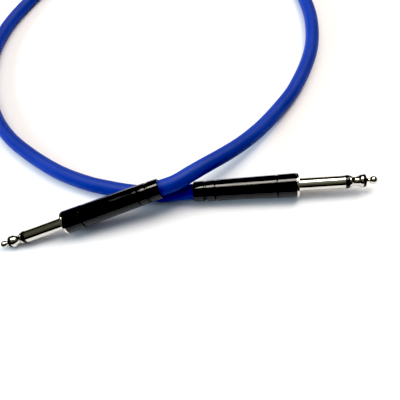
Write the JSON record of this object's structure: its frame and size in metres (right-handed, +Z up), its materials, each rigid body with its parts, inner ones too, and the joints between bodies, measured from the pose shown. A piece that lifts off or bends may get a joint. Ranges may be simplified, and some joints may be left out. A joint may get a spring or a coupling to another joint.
{
  "type": "patch cable",
  "caption": "Instrument patch cable: blue round cable lying in a loop, with a slim three-pole jack plug on each end; black handles screw off the nickel-plated plug bodies.",
  "frame": {"origin": "on the surface that the cable lies on, under the middle of the box round the two plugs", "axes": "+Z up; +X along the two plugs, towards the right plug's tip; +Y towards the loop of cable"},
  "size_m": [0.1575, 0.1956, 0.013],
  "materials": {
    "blue_jacket": "satin",
    "black_handle": "gloss",
    "nickel_plate": "polished",
    "black_insulator": "satin",
    "tinned_brass": "satin",
    "copper": "satin",
    "white_core": "satin",
    "red_core": "satin",
    "liner_film": "satin"
  },
  "bodies": {
    "cable_and_plugs": {"cable": "blue_jacket", "right_sleeve_body": "nickel_plate", "right_ring_insulator": "black_insulator", "right_ring_contact": "nickel_plate", "right_tip_insulator": "black_insulator", "right_tip_contact": "nickel_plate", "right_ring_washer": "black_insulator", "right_ring_terminal": "tinned_brass", "right_tip_washer": "black_insulator", "right_tip_terminal": "tinned_brass", "right_cable_clamp": "tinned_brass", "right_shield_braid": "copper", "right_ring_core": "white_core", "right_ring_strands": "copper", "right_tip_core": "red_core", "right_tip_strands": "copper", "left_sleeve_body": "nickel_plate", "left_ring_insulator": "black_insulator", "left_ring_contact": "nickel_plate", "left_tip_insulator": "black_insulator", "left_tip_contact": "nickel_plate", "left_ring_washer": "black_insulator", "left_ring_terminal": "tinned_brass", "left_tip_washer": "black_insulator", "left_tip_terminal": "tinned_brass", "left_cable_clamp": "tinned_brass", "left_shield_braid": "copper", "left_ring_core": "white_core", "left_ring_strands": "copper", "left_tip_core": "red_core", "left_tip_strands": "copper"},
    "right_liner": {"right_liner": "liner_film"},
    "right_handle": {"right_handle": "black_handle"},
    "left_liner": {"left_liner": "liner_film"},
    "left_handle": {"left_handle": "black_handle"}
  },
  "joints": [
    {"name": "right_liner_slide", "type": "slide", "parent": "cable_and_plugs", "child": "right_liner", "axis": [-0.9676, 0.252, -0.0177], "range_m": [0, 0.0025]},
    {"name": "right_handle_turn", "type": "hinge", "parent": "right_liner", "child": "right_handle", "pos_m": [0.03984, -0.00331, 0.00411], "axis": [-0.9676, 0.252, -0.0177], "range_deg": [0, 1800]},
    {"name": "left_liner_slide", "type": "slide", "parent": "cable_and_plugs", "child": "left_liner", "axis": [0.9914, 0, 0.1311], "range_m": [0, 0.0025]},
    {"name": "left_handle_turn", "type": "hinge", "parent": "left_liner", "child": "left_handle", "pos_m": [-0.03935, 0.0066, 0.00481], "axis": [0.9914, 0, 0.1311], "range_deg": [0, 1800]}
  ],
  "couplings": [
    {"joint": "right_handle_turn", "follows": "right_liner_slide", "rad_per_m": 12566},
    {"joint": "left_handle_turn", "follows": "left_liner_slide", "rad_per_m": 12566}
  ]
}
